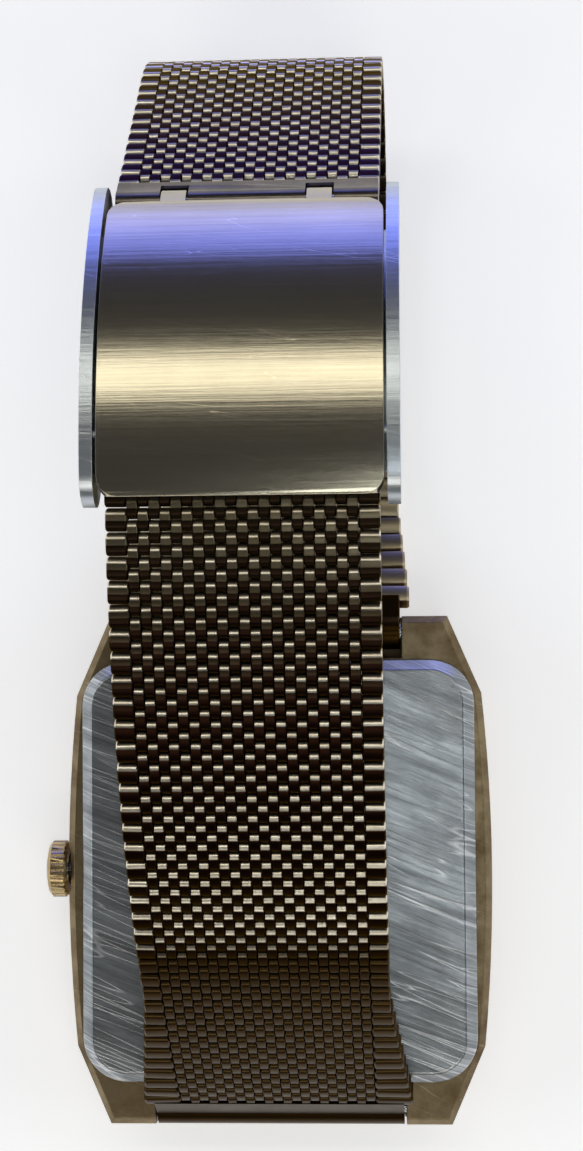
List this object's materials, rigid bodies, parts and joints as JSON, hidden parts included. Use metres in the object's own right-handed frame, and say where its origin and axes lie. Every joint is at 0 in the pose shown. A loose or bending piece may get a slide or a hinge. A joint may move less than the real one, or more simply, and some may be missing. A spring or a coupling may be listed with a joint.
{
  "type": "analog wristwatch",
  "caption": "Vintage analog wristwatch with a gold-tone cut-corner case, steel snap caseback and a woven brick-link metal bracelet closed by a curved fold-over clasp.",
  "frame": {"origin": "centre of the crystal's front face, which the watch rests on", "axes": "+Z out of the caseback, +Y towards 12 o'clock, +X towards 9 o'clock with the crown on the -X side"},
  "size_m": [0.0332, 0.0771, 0.0392],
  "materials": {
    "worn_gold_case": "worn satin",
    "gold_bezel": "polished",
    "brushed_steel": "brushed",
    "crystal": "clear",
    "gasket": "matte",
    "dial": "satin",
    "gold_plate": "polished",
    "plastic": "matte",
    "board": "matte",
    "copper_wire": "satin",
    "bright_steel": "polished",
    "bronze_links": "worn",
    "cover_gold": "brushed"
  },
  "bodies": {
    "head": {"case_middle": "worn_gold_case", "bezel": "gold_bezel", "crystal": "crystal", "crystal_gasket": "gasket", "caseback": "brushed_steel", "caseback_gasket": "gasket", "dial": "dial", "chapter_ring": "gold_plate", "movement_holder": "plastic", "main_plate": "gold_plate", "battery": "bright_steel", "battery_clamp": "bright_steel", "circuit_board": "board", "coil_core": "bright_steel", "drive_coil": "copper_wire", "train_bridge": "gold_plate", "crown_tube": "gold_plate", "spring_bar_12": "bright_steel", "spring_bar_6": "bright_steel"},
    "minute_hand": {"minute_hand": "gold_plate"},
    "hour_hand": {"hour_hand": "gold_plate"},
    "stem_slide": {"setting_lever": "bright_steel"},
    "crown": {"crown": "gold_bezel", "crown_gasket": "gasket", "stem": "bright_steel"},
    "strap6_1": {"strap6_1": "bronze_links"},
    "strap6_2": {"strap6_2": "bronze_links"},
    "strap6_3": {"strap6_3": "bronze_links"},
    "strap6_4": {"strap6_4": "bronze_links"},
    "strap6_5": {"strap6_5": "bronze_links"},
    "strap6_6": {"strap6_6": "bronze_links"},
    "strap6_7": {"strap6_7": "bronze_links", "clasp_frame": "brushed_steel", "clasp_cross_bar": "bright_steel", "lock_flap_pin": "bright_steel"},
    "strap12_1": {"strap12_1": "bronze_links"},
    "strap12_2": {"strap12_2": "bronze_links"},
    "strap12_3": {"strap12_3": "bronze_links"},
    "strap12_4": {"strap12_4": "bronze_links"},
    "strap12_5": {"strap12_5": "bronze_links"},
    "strap12_6": {"strap12_6": "bronze_links"},
    "strap12_7": {"strap12_7": "bronze_links"},
    "strap12_8": {"strap12_8": "bronze_links"},
    "strap12_9": {"strap12_9": "bronze_links"},
    "strap12_10": {"strap12_10": "bronze_links"},
    "strap12_11": {"strap12_11": "bronze_links", "clasp_end_link": "cover_gold", "clasp_hinge_pin": "bright_steel"},
    "clasp_cover": {"clasp_cover": "cover_gold"},
    "lock_flap": {"lock_flap": "brushed_steel"}
  },
  "joints": [
    {"name": "minute_hand_turn", "type": "hinge", "parent": "head", "child": "minute_hand", "pos_m": [0, 0, 0.002], "axis": [0, 0, -1], "continuous": true},
    {"name": "hour_hand_turn", "type": "hinge", "parent": "head", "child": "hour_hand", "pos_m": [0, 0, 0.002], "axis": [0, 0, -1], "continuous": true},
    {"name": "crown_pull", "type": "slide", "parent": "head", "child": "stem_slide", "axis": [-1, 0, 0], "range_m": [0, 0.001]},
    {"name": "crown_turn", "type": "hinge", "parent": "stem_slide", "child": "crown", "pos_m": [-0.0165, 0, 0.00395], "axis": [-1, 0, 0], "continuous": true},
    {"name": "strap_6_lug", "type": "hinge", "parent": "head", "child": "strap6_1", "pos_m": [0, -0.0174, 0.0049], "axis": [1, 0, 0], "range_deg": [0, 30]},
    {"name": "strap_6_pin_1", "type": "hinge", "parent": "strap6_1", "child": "strap6_2", "pos_m": [0, -0.00949, 0.01645], "axis": [1, 0, 0], "range_deg": [0, 3]},
    {"name": "strap_6_pin_2", "type": "hinge", "parent": "strap6_2", "child": "strap6_3", "pos_m": [0, -0.00336, 0.02286], "axis": [1, 0, 0], "range_deg": [0, 3]},
    {"name": "strap_6_pin_3", "type": "hinge", "parent": "strap6_3", "child": "strap6_4", "pos_m": [0, 0.00353, 0.02845], "axis": [1, 0, 0], "range_deg": [0, 3]},
    {"name": "strap_6_pin_4", "type": "hinge", "parent": "strap6_4", "child": "strap6_5", "pos_m": [0, 0.01128, 0.03275], "axis": [1, 0, 0], "range_deg": [0, 3]},
    {"name": "strap_6_pin_5", "type": "hinge", "parent": "strap6_5", "child": "strap6_6", "pos_m": [0, 0.01968, 0.03561], "axis": [1, 0, 0], "range_deg": [0, 3]},
    {"name": "strap_6_pin_6", "type": "hinge", "parent": "strap6_6", "child": "strap6_7", "pos_m": [0, 0.0255, 0.03666], "axis": [1, 0, 0], "range_deg": [0, 2]},
    {"name": "strap_12_lug", "type": "hinge", "parent": "head", "child": "strap12_1", "pos_m": [0, 0.0174, 0.0049], "axis": [1, 0, 0], "range_deg": [0, 11]},
    {"name": "strap_12_pin_1", "type": "hinge", "parent": "strap12_1", "child": "strap12_2", "pos_m": [0, 0.0244, 0.0015], "axis": [-1, 0, 0], "range_deg": [0, 2]},
    {"name": "strap_12_pin_2", "type": "hinge", "parent": "strap12_2", "child": "strap12_3", "pos_m": [0, 0.03023, 0.00083], "axis": [-1, 0, 0], "range_deg": [0, 2]},
    {"name": "strap_12_pin_3", "type": "hinge", "parent": "strap12_3", "child": "strap12_4", "pos_m": [0, 0.03911, 0.00083], "axis": [-1, 0, 0], "range_deg": [0, 3]},
    {"name": "strap_12_pin_4", "type": "hinge", "parent": "strap12_4", "child": "strap12_5", "pos_m": [0, 0.04799, 0.00086], "axis": [-1, 0, 0], "range_deg": [0, 14.5]},
    {"name": "strap_12_pin_5", "type": "hinge", "parent": "strap12_5", "child": "strap12_6", "pos_m": [0, 0.05221, 0.00211], "axis": [-1, 0, 0], "range_deg": [0, 14.5]},
    {"name": "strap_12_pin_6", "type": "hinge", "parent": "strap12_6", "child": "strap12_7", "pos_m": [0, 0.05556, 0.00498], "axis": [-1, 0, 0], "range_deg": [0, 14.5]},
    {"name": "strap_12_pin_7", "type": "hinge", "parent": "strap12_7", "child": "strap12_8", "pos_m": [0, 0.05743, 0.00897], "axis": [-1, 0, 0], "range_deg": [0, 14.5]},
    {"name": "strap_12_pin_8", "type": "hinge", "parent": "strap12_8", "child": "strap12_9", "pos_m": [0, 0.05749, 0.01338], "axis": [-1, 0, 0], "range_deg": [0, 14.5]},
    {"name": "strap_12_pin_9", "type": "hinge", "parent": "strap12_9", "child": "strap12_10", "pos_m": [0, 0.05575, 0.01742], "axis": [-1, 0, 0], "range_deg": [0, 14.5]},
    {"name": "strap_12_pin_10", "type": "hinge", "parent": "strap12_10", "child": "strap12_11", "pos_m": [0, 0.05006, 0.02424], "axis": [-1, 0, 0], "range_deg": [0, 2]},
    {"name": "clasp_cover_turn", "type": "hinge", "parent": "strap12_11", "child": "clasp_cover", "pos_m": [0, 0.04409, 0.03137], "axis": [-1, 0, 0], "range_deg": [0, 95]},
    {"name": "lock_flap_turn", "type": "hinge", "parent": "strap6_7", "child": "lock_flap", "pos_m": [0, 0.03226, 0.03506], "axis": [-1, 0, 0], "range_deg": [0, 75]}
  ],
  "couplings": [
    {"joint": "hour_hand_turn", "follows": "minute_hand_turn", "ratio": 0.083333},
    {"joint": "strap_6_pin_1", "follows": "strap_6_lug", "ratio": 0.1},
    {"joint": "strap_6_pin_2", "follows": "strap_6_lug", "ratio": 0.1},
    {"joint": "strap_6_pin_3", "follows": "strap_6_lug", "ratio": 0.1},
    {"joint": "strap_6_pin_4", "follows": "strap_6_lug", "ratio": 0.1},
    {"joint": "strap_6_pin_5", "follows": "strap_6_lug", "ratio": 0.1},
    {"joint": "strap_6_pin_6", "follows": "strap_6_lug", "ratio": 0.066667},
    {"joint": "strap_12_lug", "follows": "strap_6_lug", "ratio": 0.36667},
    {"joint": "strap_12_pin_1", "follows": "strap_6_lug", "ratio": 0.066667},
    {"joint": "strap_12_pin_2", "follows": "strap_6_lug", "ratio": 0.066667},
    {"joint": "strap_12_pin_3", "follows": "strap_6_lug", "ratio": 0.1},
    {"joint": "strap_12_pin_4", "follows": "strap_6_lug", "ratio": 0.48333},
    {"joint": "strap_12_pin_5", "follows": "strap_6_lug", "ratio": 0.48333},
    {"joint": "strap_12_pin_6", "follows": "strap_6_lug", "ratio": 0.48333},
    {"joint": "strap_12_pin_7", "follows": "strap_6_lug", "ratio": 0.48333},
    {"joint": "strap_12_pin_8", "follows": "strap_6_lug", "ratio": 0.48333},
    {"joint": "strap_12_pin_9", "follows": "strap_6_lug", "ratio": 0.48333},
    {"joint": "strap_12_pin_10", "follows": "strap_6_lug", "ratio": 0.066667}
  ]
}
